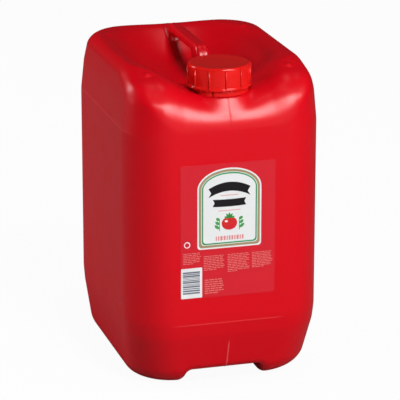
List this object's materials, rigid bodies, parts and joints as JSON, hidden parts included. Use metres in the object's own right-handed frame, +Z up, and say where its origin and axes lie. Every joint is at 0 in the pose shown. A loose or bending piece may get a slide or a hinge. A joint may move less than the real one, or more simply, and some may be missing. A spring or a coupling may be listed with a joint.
{
  "type": "ketchup canister",
  "caption": "Rectangular blow-moulded plastic canister of ketchup, shut with a screw cap, with a lengthwise grip bar in the dished top and feet that clear the cap of the one below.",
  "frame": {"origin": "middle of the plan, on the floor", "axes": "+X to the right along the label face, +Y from the label face to the back, +Z up"},
  "size_m": [0.186, 0.2302, 0.3077],
  "materials": {
    "canister": "blow-moulded polyethylene, semi-gloss",
    "cap": "moulded, semi-gloss",
    "tamper_band": "moulded, semi-gloss",
    "label": "printed film"
  },
  "bodies": {
    "root": {"canister": "canister", "cap": "cap", "tamper_band": "tamper_band", "label": "label"}
  },
  "joints": []
}
